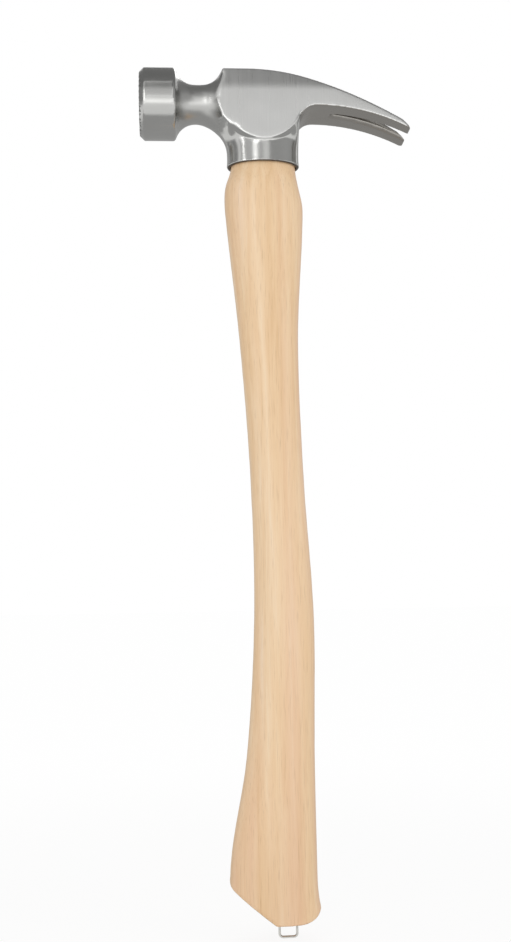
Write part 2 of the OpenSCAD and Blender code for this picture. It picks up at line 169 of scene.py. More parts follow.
@dataclass(frozen=True)
class Steel:
    """Steel with the lines that a wheel, belt or die leaves along one axis, or with an even mottle.

    The lines tell a buffed, ground or drawn surface from a cast one, because they streak the reflections.
    Real ones are a few hundredths of a millimetre apart, so they are drawn coarser, as wide as the render
    can show.

    Attributes:
        name: the material's name.
        bright: colour where lines and clouds are strongest.
        dull: colour where they are weakest.
        roughness: of the smoothest and the roughest lines.
        line: size of a line along each axis.
        line_depth: relief of the lines.
        cloud: size of the faint clouds of tone.
        groove_shade_depth: depth behind the striking face where the painted shade in the grooves is darkest,
            or 0 without grooves.
        soft_neck: where along X a rougher stretch starts and ends, and how much rougher it is.
        tone_lift: how far the tone is moved towards the bright colour.
        line_span: part of the lines' noise over which the roughness changes.
        groove_shade_start: depth behind the striking face where the painted shade starts.
        groove_shade_colour: colour of the painted shade at its darkest, in the grooves.
        neck_ramps: lengths along X over which the rougher stretch comes and goes.
    """

    name: str
    bright: str
    dull: str
    roughness: tuple[float, float]
    line: tuple[float, float, float]
    line_depth: float
    cloud: float = 16 * MM
    groove_shade_depth: float = 0.0
    soft_neck: tuple[float, float, float] | None = None
    tone_lift: float = 0.25
    line_span: tuple[float, float] = (0.3, 0.7)
    groove_shade_start: float = 0.2 * MM
    groove_shade_colour: str = "#4A4742"
    neck_ramps: tuple[float, float] = (3 * MM, 9 * MM)

    def make(self) -> bpy.types.Material:
        """Build the material.

        Returns:
            Metal with streaked roughness, faint clouds of tone and fine lines in its relief.
        """
        material, tree, output = new_material(self.name)
        place = add_node(tree, "TexCoord").outputs["Object"]
        along = add_node(tree, "Mapping", {"Vector": place, "Scale": per_metre(self.line)})
        lines = add_node(
            tree,
            "TexNoise",
            {"Vector": along.outputs[0], "Scale": 1.0, "Detail": 3.0, "Roughness": 0.6},
        ).outputs["Fac"]
        clouds = add_node(tree, "TexNoise", {"Vector": place, "Scale": 1 / self.cloud, "Detail": 2.0})
        tone = add_node(
            tree,
            "Math",
            {0: lines, 1: clouds.outputs["Fac"], 2: self.tone_lift},
            operation="MULTIPLY_ADD",
        )
        colour = add_node(
            tree,
            "Mix",
            {0: tone.outputs[0], 6: to_linear(self.dull), 7: to_linear(self.bright)},
            data_type="RGBA",
        ).outputs[2]
        # Painted shade: the grooves between the teeth darken with depth behind the striking face
        if self.groove_shade_depth:
            depth = add_node(tree, "SeparateXYZ", {0: place}).outputs["X"]
            shade = add_node(tree, "MapRange", {0: depth, 1: self.groove_shade_start, 2: self.groove_shade_depth})
            colour = add_node(
                tree,
                "Mix",
                {0: shade.outputs[0], 6: colour, 7: to_linear(self.groove_shade_colour)},
                data_type="RGBA",
            ).outputs[2]
        low, high = self.line_span
        rough = add_node(
            tree,
            "MapRange",
            {0: lines, 1: low, 2: high, 3: self.roughness[0], 4: self.roughness[1]},
        )
        if self.soft_neck:
            start, end, more = self.soft_neck
            come, go = self.neck_ramps
            along_x = add_node(tree, "SeparateXYZ", {0: place}).outputs["X"]
            rise = add_node(
                tree,
                "MapRange",
                {0: along_x, 1: start, 2: start + come, 4: more},
                interpolation_type="SMOOTHSTEP",
            )
            fall = add_node(
                tree,
                "MapRange",
                {0: along_x, 1: end, 2: end + go, 3: 1.0, 4: 0.0},
                interpolation_type="SMOOTHSTEP",
            )
            rough = add_node(
                tree,
                "Math",
                {0: rise.outputs[0], 1: fall.outputs[0], 2: rough.outputs[0]},
                operation="MULTIPLY_ADD",
            )
        relief = add_node(
            tree,
            "Bump",
            {"Height": lines, "Strength": 1.0, "Distance": self.line_depth},
        )
        steel = add_node(
            tree,
            "BsdfPrincipled",
            {
                "Base Color": colour,
                "Metallic": 1.0,
                "Roughness": rough.outputs[0],
                "Normal": relief.outputs[0],
            },
        )
        tree.links.new(steel.outputs[0], output.inputs["Surface"])
        return material


@dataclass(frozen=True)
class Wood:
    """Sawn and sanded wood under a clear satin lacquer, or bare where the coat is 0.

    Streaks run along the grain, short dark pores break them up, and the lacquer gives one soft shine.

    Attributes:
        name: the material's name.
        streak_colours: colours of the streaks, from dark to light.
        blush_colour: warmer tone in wide patches.
        pore_colour: colour of the pores.
        streak_size: size of a streak along each axis.
        pore_size: size of a pore along each axis.
        pore_show: how strongly pores show.
        roughness: of the darkest and the lightest streaks.
        coat: how much lacquer covers the wood.
        streak_stops: places of the streaks' colours in their noise.
        shine_span: part of the streaks' noise over which the roughness changes.
        blush_widths: a patch's size in streaks.
        blush_offset: shift that keeps the patches from following the streaks.
        blush_span: part of the patches' noise over which the blush comes in.
        blush_show: how strongly it shows at most.
        pore_span: part of the pores' noise over which a pore darkens.
        pore_depth: depth of a pore.
        pore_relief: how much of that depth the light shows.
        lacquer_roughness: roughness of the lacquer.
        ior: index of refraction of the wood's surface.
    """

    name: str
    streak_colours: tuple[str, str, str, str]
    blush_colour: str
    pore_colour: str
    streak_size: tuple[float, float, float]
    pore_size: tuple[float, float, float]
    pore_show: float
    roughness: tuple[float, float]
    coat: float
    streak_stops: tuple[float, float, float, float] = (0.3, 0.45, 0.58, 0.72)
    shine_span: tuple[float, float] = (0.3, 0.7)
    blush_widths: float = 3.0
    blush_offset: tuple[float, float, float] = (3.1, 1.7, 0.4)
    blush_span: tuple[float, float] = (0.45, 0.7)
    blush_show: float = 0.5
    pore_span: tuple[float, float] = (0.56, 0.74)
    pore_depth: float = 0.08 * MM
    pore_relief: float = 0.4
    lacquer_roughness: float = 0.22
    ior: float = 1.5

    def make(self) -> bpy.types.Material:
        """Build the material.

        Returns:
            Wood with streaks, a warmer blush in patches, and pores.
        """
        material, tree, output = new_material(self.name)
        place = add_node(tree, "TexCoord").outputs["Object"]
        along = add_node(tree, "Mapping", {"Vector": place, "Scale": per_metre(self.streak_size)})
        streaks = add_node(
            tree,
            "TexNoise",
            {"Vector": along.outputs[0], "Scale": 1.0, "Detail": 6.0, "Roughness": 0.68, "Distortion": 0.3},
        ).outputs["Fac"]
        colour = add_node(
            tree,
            "ValToRGB",
            {0: streaks},
            stops=list(zip(self.streak_stops, self.streak_colours)),
        ).outputs[0]
        patch_size = tuple(self.blush_widths * s for s in self.streak_size)
        wide = add_node(
            tree,
            "Mapping",
            {"Vector": place, "Location": self.blush_offset, "Scale": per_metre(patch_size)},
        )
        patch = add_node(tree, "TexNoise", {"Vector": wide.outputs[0], "Scale": 1.0, "Detail": 2.0})
        low, high = self.blush_span
        warm = add_node(
            tree,
            "MapRange",
            {0: patch.outputs["Fac"], 1: low, 2: high, 3: 0.0, 4: self.blush_show},
        )
        colour = add_node(
            tree,
            "Mix",
            {0: warm.outputs[0], 6: colour, 7: to_linear(self.blush_colour)},
            data_type="RGBA",
        ).outputs[2]
        fine = add_node(tree, "Mapping", {"Vector": place, "Scale": per_metre(self.pore_size)})
        pores = add_node(tree, "TexNoise", {"Vector": fine.outputs[0], "Scale": 1.0, "Detail": 2.0})
        low, high = self.pore_span
        pored = add_node(
            tree,
            "MapRange",
            {0: pores.outputs["Fac"], 1: low, 2: high, 3: 0.0, 4: self.pore_show},
        )
        colour = add_node(
            tree,
            "Mix",
            {0: pored.outputs[0], 6: colour, 7: to_linear(self.pore_colour)},
            data_type="RGBA",
        ).outputs[2]
        low, high = self.shine_span
        rough = add_node(
            tree,
            "MapRange",
            {0: streaks, 1: low, 2: high, 3: self.roughness[0], 4: self.roughness[1]},
        )
        relief = add_node(
            tree,
            "Bump",
            {"Height": pored.outputs[0], "Strength": self.pore_relief, "Distance": self.pore_depth},
            invert=True,
        )
        wood = add_node(
            tree,
            "BsdfPrincipled",
            {
                "Base Color": colour,
                "Roughness": rough.outputs[0],
                "IOR": self.ior,
                "Coat Weight": self.coat,
                "Coat Roughness": self.lacquer_roughness,
                "Normal": relief.outputs[0],
            },
        )
        tree.links.new(wood.outputs[0], output.inputs["Surface"])
        return material


# Carbon steel buffed round the poll, neck and socket: clear reflections with a faint lengthwise streak
BUFFED_STEEL = Steel(
    name="buffed_forged_steel",
    bright="#CBCBC9",
    dull="#B9B9B6",
    roughness=(0.17, 0.22),
    line=(30 * MM, 0.7 * MM, 0.7 * MM),
    line_depth=0.002 * MM,
    soft_neck=(20 * MM, 40 * MM, 0.13),
)
# Cheeks ground on a belt, up and down: a pale satin grey with fine upright lines
GROUND_CHEEK = Steel(
    name="belt_ground_steel",
    bright="#E6E6E4",
    dull="#CCCCCA",
    roughness=(0.27, 0.35),
    line=(0.6 * MM, 30 * MM, 40 * MM),
    line_depth=0.003 * MM,
)
# Top of the head ground across: the same satin, with lines from cheek to cheek
GROUND_CROWN = Steel(
    name="cross_ground_steel",
    bright="#CACAC8",
    dull="#BDBDBB",
    roughness=(0.27, 0.33),
    line=(0.45 * MM, 40 * MM, 2 * MM),
    line_depth=0.003 * MM,
)
# Milled teeth: bright tips and flanks, with painted shade in the grooves that darkens with depth
MILLED_STEEL = Steel(
    name="milled_steel",
    bright="#C6C6C3",
    dull="#A8A8A5",
    roughness=(0.25, 0.4),
    line=(0.5 * MM, 12 * MM, 0.5 * MM),
    line_depth=0.004 * MM,
    groove_shade_depth=1.2 * MM,
)
# Underside of the claws, ground less finely: a darker, warmer grey than the buffed steel
CLAW_STEEL = Steel(
    name="rough_ground_steel",
    bright="#B4B1AC",
    dull="#9E9A93",
    roughness=(0.26, 0.34),
    line=(24 * MM, 1.2 * MM, 1.2 * MM),
    line_depth=0.002 * MM,
)
# Mouth of the socket: a dull, dark brownish grey band round its rim
DARK_RIM_STEEL = Steel(
    name="dark_rim_steel",
    bright="#7D766F",
    dull="#645E58",
    roughness=(0.4, 0.5),
    line=(2 * MM, 2 * MM, 2 * MM),
    line_depth=0.004 * MM,
)
# Wedges hammered in and ground flush with the crown: duller than the head round them
WEDGE_STEEL = Steel(
    name="ground_wedge_steel",
    bright="#B2B1AE",
    dull="#8F8D89",
    roughness=(0.3, 0.45),
    line=(0.5 * MM, 20 * MM, 2 * MM),
    line_depth=0.008 * MM,
)
# Drawn wire with a dull zinc coat: pale grey, slightly warm, with a soft shine
DRAWN_WIRE = Steel(
    name="drawn_zinc_wire",
    bright="#E2E1DC",
    dull="#CBCAC5",
    roughness=(0.34, 0.46),
    line=(0.6 * MM, 0.6 * MM, 6 * MM),
    line_depth=0.01 * MM,
    cloud=3 * MM,
)
# Hickory sapwood, sanded and lacquered: pale tan with cream, ochre and pink streaks and fine pores
LACQUERED_HICKORY = Wood(
    name="lacquered_hickory",
    streak_colours=("#EBC394", "#F4D0A4", "#F9D9B1", "#FCE2C2"),
    blush_colour="#F2C6A4",
    pore_colour="#C2966A",
    streak_size=(5 * MM, 5 * MM, 170 * MM),
    pore_size=(0.5 * MM, 0.5 * MM, 14 * MM),
    pore_show=0.3,
    roughness=(0.36, 0.46),
    coat=0.25,
)
# The same hickory cut across its grain: darker, with pores as dots
HICKORY_END = Wood(
    name="hickory_end_grain",
    streak_colours=("#B98B5A", "#C99C6A", "#D3AA7A", "#DDB88B"),
    blush_colour="#CFA07A",
    pore_colour="#80562F",
    streak_size=(9 * MM, 1.4 * MM, 40 * MM),
    pore_size=(0.5 * MM, 0.5 * MM, 5 * MM),
    pore_show=0.6,
    roughness=(0.5, 0.62),
    coat=0.08,
)
# Hardwood wedge sawn across: browner than the handle, close grained
WEDGE_WOOD = Wood(
    name="sawn_wedge_wood",
    streak_colours=("#8E6238", "#9C6F43", "#A97C4F", "#B5895C"),
    blush_colour="#9A6A48",
    pore_colour="#5C3C20",
    streak_size=(1.6 * MM, 1.2 * MM, 30 * MM),
    pore_size=(0.4 * MM, 0.4 * MM, 5 * MM),
    pore_show=0.5,
    roughness=(0.55, 0.68),
    coat=0.0,
)


def merged_node(node: str) -> bmesh.types.BMesh:
    """Copy a CAD node's mesh with its loose triangles joined.

    Args:
        node: the CAD node's name.

    Returns:
        A closed bmesh in the shared frame.
    """
    shape = bmesh.new()
    shape.from_mesh(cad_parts[node].data)
    bmesh.ops.remove_doubles(shape, verts=shape.verts, dist=WELD)
    return shape


def new_object(name: str, shape: bmesh.types.BMesh) -> bpy.types.Object:
    """Make a smooth-shaded object of a bmesh and free the bmesh.

    Args:
        name: the object's name.
        shape: the bmesh.

    Returns:
        The object, linked to the scene.
    """
    mesh = bpy.data.meshes.new(name)
    for face in shape.faces:
        face.smooth = True
    shape.to_mesh(mesh)
    shape.free()
    thing = bpy.data.objects.new(name, mesh)
    bpy.context.scene.collection.objects.link(thing)
    return thing


def smooth(
    shape: bmesh.types.BMesh,
    verts: list[bmesh.types.BMVert] | bmesh.types.BMVertSeq,
    passes: int,
) -> None:
    """Smooth some points of a mesh.

    Args:
        shape: the mesh.
        verts: its points that move.
        passes: how often each moves halfway to the middle of its neighbours.
    """
    axes = {"use_axis_x": True, "use_axis_y": True, "use_axis_z": True}
    for _ in range(passes):
        bmesh.ops.smooth_vert(shape, verts=verts, factor=0.5, **axes)


@dataclass(frozen=True)
class Refine:
    """How a CAD solid becomes an even mesh with the soft edges that grinding leaves.

    Everything on the far side of the cut keeps its crisp CAD faces.

    Attributes:
        grid: size of the even mesh's cells.
        cut_at: a point on the cut.
        cut_towards: direction from the cut to the crisp CAD end.
        edge_angle: outward edges that turn by less than this are smoothed away.
        edge_reach: how far beside an edge that stays the surface is smoothed less.
        edge_points: points along such an edge in the length of a cell.
        beside_passes: first smoothing passes, beside the edges.
        edge_passes: further passes, everywhere.
        open_passes: last passes, away from the edges.
        seam: width of the strip that joins the crisp end to the soft rest.
        snap: share of a cell within which points move onto an edge.
        blended: corners of a box in which every edge is smoothed away.
    """

    grid: float
    cut_at: Vector
    cut_towards: Vector
    edge_angle: float = math.radians(20)
    edge_reach: float = 1.0 * MM
    edge_points: int = 5
    beside_passes: int = 6
    edge_passes: int = 7
    open_passes: int = 26
    seam: float = 0.3 * MM
    snap: float = 0.6
    blended: tuple[Vector, Vector] | None = None

    def stays_crisp(self, edge: bmesh.types.BMEdge) -> bool:
        """Tell whether an edge keeps its line.

        Args:
            edge: an edge of the merged CAD copy.

        Returns:
            True for an outward edge before the cut and outside the blended box.
        """
        if not edge.is_manifold or not edge.is_convex or edge.calc_face_angle() < self.edge_angle:
            return False
        middle = (edge.verts[0].co + edge.verts[1].co) / 2
        if (middle - self.cut_at).dot(self.cut_towards) > self.edge_reach:
            return False
        if self.blended is None:
            return True
        low, high = self.blended
        return not all(low[i] < middle[i] < high[i] for i in range(3))

    def crisp_places(self, shape: bmesh.types.BMesh) -> KDTree:
        """Find the outer edges that stay crisp.

        Args:
            shape: merged CAD copy.

        Returns:
            A tree of points along its outward edges.
        """
        points = []
        for edge in shape.edges:
            if self.stays_crisp(edge):
                start, run = edge.verts[0].co, edge.verts[1].co - edge.verts[0].co
                steps = max(1, math.ceil(self.edge_points * run.length / self.grid))
                points += [start + run * (i / steps) for i in range(steps + 1)]
        tree = KDTree(len(points))
        for number, point in enumerate(points):
            tree.insert(point, number)
        tree.balance()
        return tree

    def remesh(self, node: str) -> bmesh.types.BMesh:
        """Lay an even grid of quads over a CAD node.

        Args:
            node: the CAD node's name.

        Returns:
            A bmesh whose points lie on the CAD faces.
        """
        guide = new_object(node + "_guide", merged_node(node))
        draft = new_object(node + "_draft", merged_node(node))
        draft.modifiers.new("grid", "REMESH").voxel_size = self.grid
        wrap = draft.modifiers.new("wrap", "SHRINKWRAP")
        wrap.target = guide
        even = draft.evaluated_get(bpy.context.evaluated_depsgraph_get())
        shape = bmesh.new()
        shape.from_mesh(even.to_mesh())
        even.to_mesh_clear()
        for helper in (draft, guide):
            bpy.data.meshes.remove(helper.data)
        return shape

    def apply(self, node: str) -> bmesh.types.BMesh:
        """Refine a CAD node.

        Args:
            node: the CAD node's name.

        Returns:
            One closed bmesh: the crisp CAD end, joined to the softened rest.
        """
        crisp = merged_node(node)
        edges = self.crisp_places(crisp)
        soft = self.remesh(node)
        beside, free = [], []
        for vert in soft.verts:
            place, _, gap = edges.find(vert.co)
            if gap < self.snap * self.grid:
                vert.co = place
            elif gap < self.edge_reach:
                beside.append(vert)
            else:
                free.append(vert)
        smooth(soft, beside, self.beside_passes)
        smooth(soft, soft.verts, self.edge_passes)
        smooth(soft, free, self.open_passes)
        for shape, shift, side in ((crisp, 0.5, "clear_inner"), (soft, -0.5, "clear_outer")):
            bmesh.ops.bisect_plane(
                shape,
                geom=[*shape.verts, *shape.edges, *shape.faces],
                plane_co=self.cut_at + self.cut_towards * self.seam * shift,
                plane_no=self.cut_towards,
                **{side: True},
            )
        end = bpy.data.meshes.new("end")
        crisp.to_mesh(end)
        crisp.free()
        soft.from_mesh(end)
        bpy.data.meshes.remove(end)
        bmesh.ops.bridge_loops(soft, edges=[e for e in soft.edges if e.is_boundary])
        bmesh.ops.recalc_face_normals(soft, faces=soft.faces)
        return soft


def finish_piece(piece: bpy.types.Object, slot: Slot, *nodes: str) -> bpy.types.Object:
    """Tie a piece to the frame.

    Args:
        piece: the finished piece.
        slot: its material slot in the record; not used.
        nodes: CAD nodes that it stands for.

    Returns:
        The piece.
    """
    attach(piece, "root")
    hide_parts(*nodes)
    LOG.info("%s: %d faces", piece.name, len(piece.data.polygons))
    return piece


@dataclass
class HammerHead:
    """The forged head, from the milled face to the claws.

    Shares are of the socket's outline, and a turn is the part of a face's normal along one axis.
    """

    grid: float = 0.53 * MM
    half_width: float = 14 * MM

    # Poll and its milled face
    poll_r: float = 19.75 * MM
    face_depth: float = 1.6 * MM
    face_bevel: float = 2.6 * MM
    teeth_margin: float = 0.1 * MM
    tooth_angle: float = math.radians(25)

    # Neck, and the box in which it blends into the body
    neck_end: float = 40 * MM
    body_start: float = 46 * MM
    neck_blend: tuple[Vector, Vector] = field(
        default_factory=lambda: (Vector((38, -20, -3)) * MM, Vector((60, 20, 14.5)) * MM)
    )

    # Ground cheeks, whose tops lean in, and the crown between them
    cheek: float = 12.2 * MM
    cheek_turn: float = 0.9
    crown_turn: float = 0.6
    crown_start: float = 3 * MM
    crown_round: float = 5.5 * MM
    crown_lean: float = 0.14
    crown_core: float = 11 * MM

    # Round lower edge of the cheeks, and its corner under the neck
    eye_x: float = 68.4 * MM
    round_z: float = -3.0 * MM
    round_r: float = 21.2 * MM
    corner_z: float = -16.5 * MM
    corner_blend: tuple[tuple[float, int], ...] = ((5 * MM, 4), (3.5 * MM, 8))

    # Socket round the eye, down to its rim
    socket_half: tuple[float, float] = (20.2 * MM, 13.7 * MM)
    socket_outside: float = 0.93
    socket_reach: float = 1.3
    rim_z: float = -37 * MM
    rim_lip: float = 0.65 * MM
    rim_snap: float = 0.01 * MM

    # Step from the cheeks back to the socket
    step_run: float = 1.6 * MM
    step_start: float = 2.5 * MM
    step_ends: tuple[float, float] = (0.4, 0.92)
    step_share: float = 0.055
    rim_share: float = 0.02
    outside_fade: float = 0.05
    ends_from: float = 0.66
    end_passes: int = 60
    blend_passes: int = 14

    # Throat and claws
    throat: Vector = field(default_factory=lambda: Vector((84, 12.4, -7)) * MM)
    claw_start: float = 89 * MM

    def zone(self, face: bpy.types.MeshPolygon) -> Zone:
        """Tell how a face is finished.

        Args:
            face: a face of the head.

        Returns:
            Its zone.
        """
        place, turned = face.center, face.normal
        bevel_r = self.poll_r - self.face_bevel + place.x
        if place.x < self.face_depth and math.hypot(place.y, place.z) < bevel_r - self.teeth_margin:
            return Zone.TEETH
        on_socket = place.z < self.corner_z and self.past_round(place) > 0
        on_body = place.x > self.neck_end and not on_socket
        if abs(turned.y) > self.cheek_turn and abs(place.y) > self.cheek and on_body:
            return Zone.CHEEK
        if turned.z > self.crown_turn and place.x > self.body_start:
            return Zone.CROWN
        if place.x > self.claw_start:
            return Zone.CLAW_UNDERSIDE
        if place.z < self.rim_z + self.rim_lip and place.x > self.body_start:
            return Zone.SOCKET_MOUTH
        return Zone.BUFFED

    def crown_cheeks(self, shape: bmesh.types.BMesh) -> None:
        """Lean the top of each cheek in, as a belt leaves it.

        Args:
            shape: the head.
        """
        for vert in shape.verts:
            up = vert.co.z - self.crown_start
            out = (abs(vert.co.y) - self.crown_core) / (self.half_width - self.crown_core)
            along = (vert.co.x - self.neck_end) / (self.body_start - self.neck_end)
            if min(up, out, along) > 0:
                bent = min(up, self.crown_round)
                inset = self.crown_lean * (bent**2 / (2 * self.crown_round) + up - bent)
                vert.co.y -= math.copysign(inset * min(out, 1.0) * min(along, 1.0), vert.co.y)

    def past_round(self, place: Vector) -> float:
        """Distance of a place outside the round lower edge of the cheeks."""
        return math.hypot(place.x - self.eye_x, place.z - self.round_z) - self.round_r

    def outside(self, place: Vector) -> float:
        """Distance of a place from the eye's axis, as a share of the socket's outline."""
        return math.hypot((place.x - self.eye_x) / self.socket_half[0], place.y / self.socket_half[1])

    def in_throat(self, place: Vector) -> bool:
        """Tell whether a place is in the throat, between the socket and the claws."""
        return place.x > self.throat.x and abs(place.y) < self.throat.y and place.z < self.throat.z

    def step_socket(self, shape: bmesh.types.BMesh) -> None:
        """Set the socket back below the cheeks' round edge, with a bevel between them, and blend its creases.

        Args:
            shape: the head.
        """
        crease, ends = [], []
        for vert in shape.verts:
            below = self.past_round(vert.co)
            down = self.corner_z - vert.co.z
            out = self.outside(vert.co) - self.socket_outside
            along = abs(vert.co.x - self.eye_x) / self.socket_half[0]
            if out < 0 or along > self.socket_reach:
                continue
            creased = min(below - self.step_run, down) > 0 or self.in_throat(vert.co)
            if creased and vert.co.z > self.rim_z + self.step_run:
                crease.append(vert)
                if along > self.ends_from:
                    ends.append(vert)
            if min(below, down) > 0 and along < self.step_ends[1]:
                height = (vert.co.z - self.rim_z) / (self.corner_z - self.rim_z)
                share = self.rim_share + (self.step_share - self.rim_share) * height
                wall = self.socket_half[1] * (1 - share) * math.sqrt(1 - along**2)
                fade = (self.step_ends[1] - along) / (self.step_ends[1] - self.step_ends[0])
                ramp = min(below / self.step_run, 1.0) * min(down / self.step_start, 1.0) * min(fade, 1.0)
                inset = max(abs(vert.co.y) - wall, 0.0) * ramp * min(out / self.outside_fade, 1.0)
                vert.co.y -= math.copysign(inset, vert.co.y)
        smooth(shape, ends, self.end_passes)
        smooth(shape, crease, self.blend_passes)
        self.blend_corner(shape)

    def blend_corner(self, shape: bmesh.types.BMesh) -> None:
        """Blend the corner where the cheeks' round edge starts, under the neck.

        Args:
            shape: the head.
        """
        corner_x = self.eye_x - math.sqrt(self.round_r**2 - (self.corner_z - self.round_z) ** 2)
        corner = Vector((corner_x, 0, self.corner_z))
        for reach, passes in self.corner_blend:
            near = [v for v in shape.verts if math.hypot(v.co.x - corner.x, v.co.z - corner.z) < reach]
            smooth(shape, [v for v in near if abs(v.co.y) > self.crown_core], passes)

    def build(self) -> bpy.types.Object:
        """Model the head.

        Returns:
            The head, softened everywhere but on its teeth.
        """
        shape = Refine(
            self.grid,
            Vector((self.face_depth, 0, 0)),
            Vector((-1, 0, 0)),
            blended=self.neck_blend,
        ).apply("head")
        self.crown_cheeks(shape)
        self.step_socket(shape)
        bmesh.ops.bisect_plane(
            shape,
            geom=[*shape.verts, *shape.edges, *shape.faces],
            dist=self.rim_snap,
            plane_co=(0, 0, self.rim_z + self.rim_lip),
            plane_no=(0, 0, 1),
        )
        for edge in shape.edges:
            mid = (edge.verts[0].co.x + edge.verts[1].co.x) / 2
            if mid < self.face_depth and edge.is_manifold:
                edge.smooth = edge.calc_face_angle() < self.tooth_angle
        return new_object("forged_head", shape)

    def dress(self, piece: bpy.types.Object) -> bpy.types.Object:
        """Give each zone of the head its finish.

        Args:
            piece: the head.

        Returns:
            The head, tied to the frame.
        """
        finishes = {
            Zone.BUFFED: BUFFED_STEEL,
            Zone.CHEEK: GROUND_CHEEK,
            Zone.CROWN: GROUND_CROWN,
            Zone.TEETH: MILLED_STEEL,
            Zone.CLAW_UNDERSIDE: CLAW_STEEL,
            Zone.SOCKET_MOUTH: DARK_RIM_STEEL,
        }
        for zone in Zone:
            piece.data.materials.append(finishes[zone].make())
        for face in piece.data.polygons:
            face.material_index = self.zone(face).value
        return finish_piece(piece, Slot.FORGED_STEEL, "head")


@dataclass
class Handle:
    """The curved hickory handle with its tenon in the eye."""

    grid: float = 0.9 * MM
    tenon_start: float = -35 * MM
    tenon_top: float = 5 * MM
    tenon_angle: float = math.radians(30)
    butt_cut: float = -420 * MM
    butt_angle: float = math.radians(28)
    butt_reach: float = 2 * MM
    butt_passes: int = 6
    grip_passes: int = 40
    end_turn: float = 0.6

    def build(self) -> bpy.types.Object:
        """Model the handle.

        Returns:
            The handle, smooth below the head and crisp on the wedged tenon.
        """
        shape = Refine(
            self.grid,
            Vector((0, 0, self.tenon_start)),
            Vector((0, 0, 1)),
            edge_angle=self.butt_angle,
            edge_reach=self.butt_reach,
            edge_passes=self.butt_passes,
            open_passes=self.grip_passes,
        ).apply("handle")
        for edge in shape.edges:
            if min(v.co.z for v in edge.verts) > self.tenon_start and edge.is_manifold:
                edge.smooth = edge.calc_face_angle() < self.tenon_angle
        return new_object("hickory_handle", shape)

    def dress(self, piece: bpy.types.Object) -> bpy.types.Object:
        """Give the handle its wood, with end grain on the tenon's top and the butt's cut.

        Args:
            piece: the handle.

        Returns:
            The handle, tied to the frame.
        """
        for finish in (LACQUERED_HICKORY, HICKORY_END):
            piece.data.materials.append(finish.make())
        for face in piece.data.polygons:
            cut = face.center.z < self.butt_cut and face.normal.z < -self.end_turn
            top = face.center.z > self.tenon_top and face.normal.z > self.end_turn
            face.material_index = (Grain.END if cut or top else Grain.LONG).value
        return finish_piece(piece, Slot.HICKORY, "handle")


@dataclass
class EyeWedges:
    """The wooden wedge along the eye and the two steel wedges across it."""

    ease: float = 0.15 * MM
    flat_angle: float = math.radians(0.5)
    sharp_angle: float = math.radians(30)
    nodes: dict[str, tuple[Slot, Steel | Wood]] = field(
        default_factory=lambda: {
            "wooden_wedge": (Slot.WEDGE_WOOD, WEDGE_WOOD),
            "steel_wedge_front": (Slot.WEDGE_STEEL, WEDGE_STEEL),
            "steel_wedge_rear": (Slot.WEDGE_STEEL, WEDGE_STEEL),
        }
    )

    def wedge(self, node: str) -> bpy.types.Object:
        """Model one wedge.

        Args:
            node: its CAD node's name.

        Returns:
            The wedge with its edges eased.
        """
        shape = merged_node(node)
        bmesh.ops.dissolve_limit(shape, angle_limit=self.flat_angle, verts=shape.verts, edges=shape.edges)
        sharp = [e for e in shape.edges if e.calc_face_angle() > self.sharp_angle]
        bmesh.ops.bevel(
            shape,
            geom=sharp,
            offset=self.ease,
            affect="EDGES",
            segments=2,
            profile=0.5,
            material=-1,
            clamp_overlap=True,
        )
        return new_object("driven_" + node, shape)

    def build(self) -> dict[str, bpy.types.Object]:
        """Model the wedges, by their CAD nodes' names."""
        return {node: self.wedge(node) for node in self.nodes}

    def dress(self, pieces: dict[str, bpy.types.Object]) -> None:
        """Give each wedge its finish and tie it to the frame.

        Args:
            pieces: the wedges by their CAD nodes' names.
        """
        made = {}
        for node, piece in pieces.items():
            slot, finish = self.nodes[node]
            if finish not in made:
                made[finish] = finish.make()
            piece.data.materials.append(made[finish])
            finish_piece(piece, slot, node)


@dataclass
class HangStaple:
    """The bent wire staple in the butt."""

    crease_angle: float = math.radians(40)

    def build(self) -> bpy.types.Object:
        """Model the staple.

        Returns:
            A smooth wire with crisp ends.
        """
        piece = new_object("wire_staple", merged_node("hang_staple"))
        piece.data.set_sharp_from_angle(angle=self.crease_angle)
        return piece

    def dress(self, piece: bpy.types.Object) -> bpy.types.Object:
        """Give the staple its zinc-coated finish.

        Args:
            piece: the staple.

        Returns:
            The staple, tied to the frame.
        """
        piece.data.materials.append(DRAWN_WIRE.make())
        return finish_piece(piece, Slot.WIRE, "hang_staple")


@dataclass(frozen=True)
class Lamp:
    """A soft box that stands round the hammer and faces it.

    Attributes:
        name: the lamp's name.
        azimuth: degrees to the right of straight in front of the hammer.
        elevation: degrees above the point that it faces.
        distance: from that point.
        size: width and height.
        radiance: brightness of the box's surface, whatever its size.
    """

    name: str
    azimuth: float
    elevation: float
    distance: float
    size: tuple[float, float]
    radiance: float

    def place(self, target: Vector) -> bpy.types.Object:
        """Set the lamp up.

        Args:
            target: the point that it faces.

        Returns:
            The lamp.
        """
        data = bpy.data.lights.new(self.name, "AREA")
        data.shape = "RECTANGLE"
        data.size, data.size_y = self.size
        data.energy = self.radiance * math.pi * self.size[0] * self.size[1]
        lamp = bpy.data.objects.new(self.name, data)
        turn, rise = math.radians(self.azimuth), math.radians(self.elevation)
        away = Vector((math.sin(turn) * math.cos(rise), -math.cos(turn) * math.cos(rise), math.sin(rise)))
        lamp.location = target + away * self.distance
        lamp.rotation_euler = away.to_track_quat("Z", "Y").to_euler()
        bpy.context.scene.collection.objects.link(lamp)
        return lamp


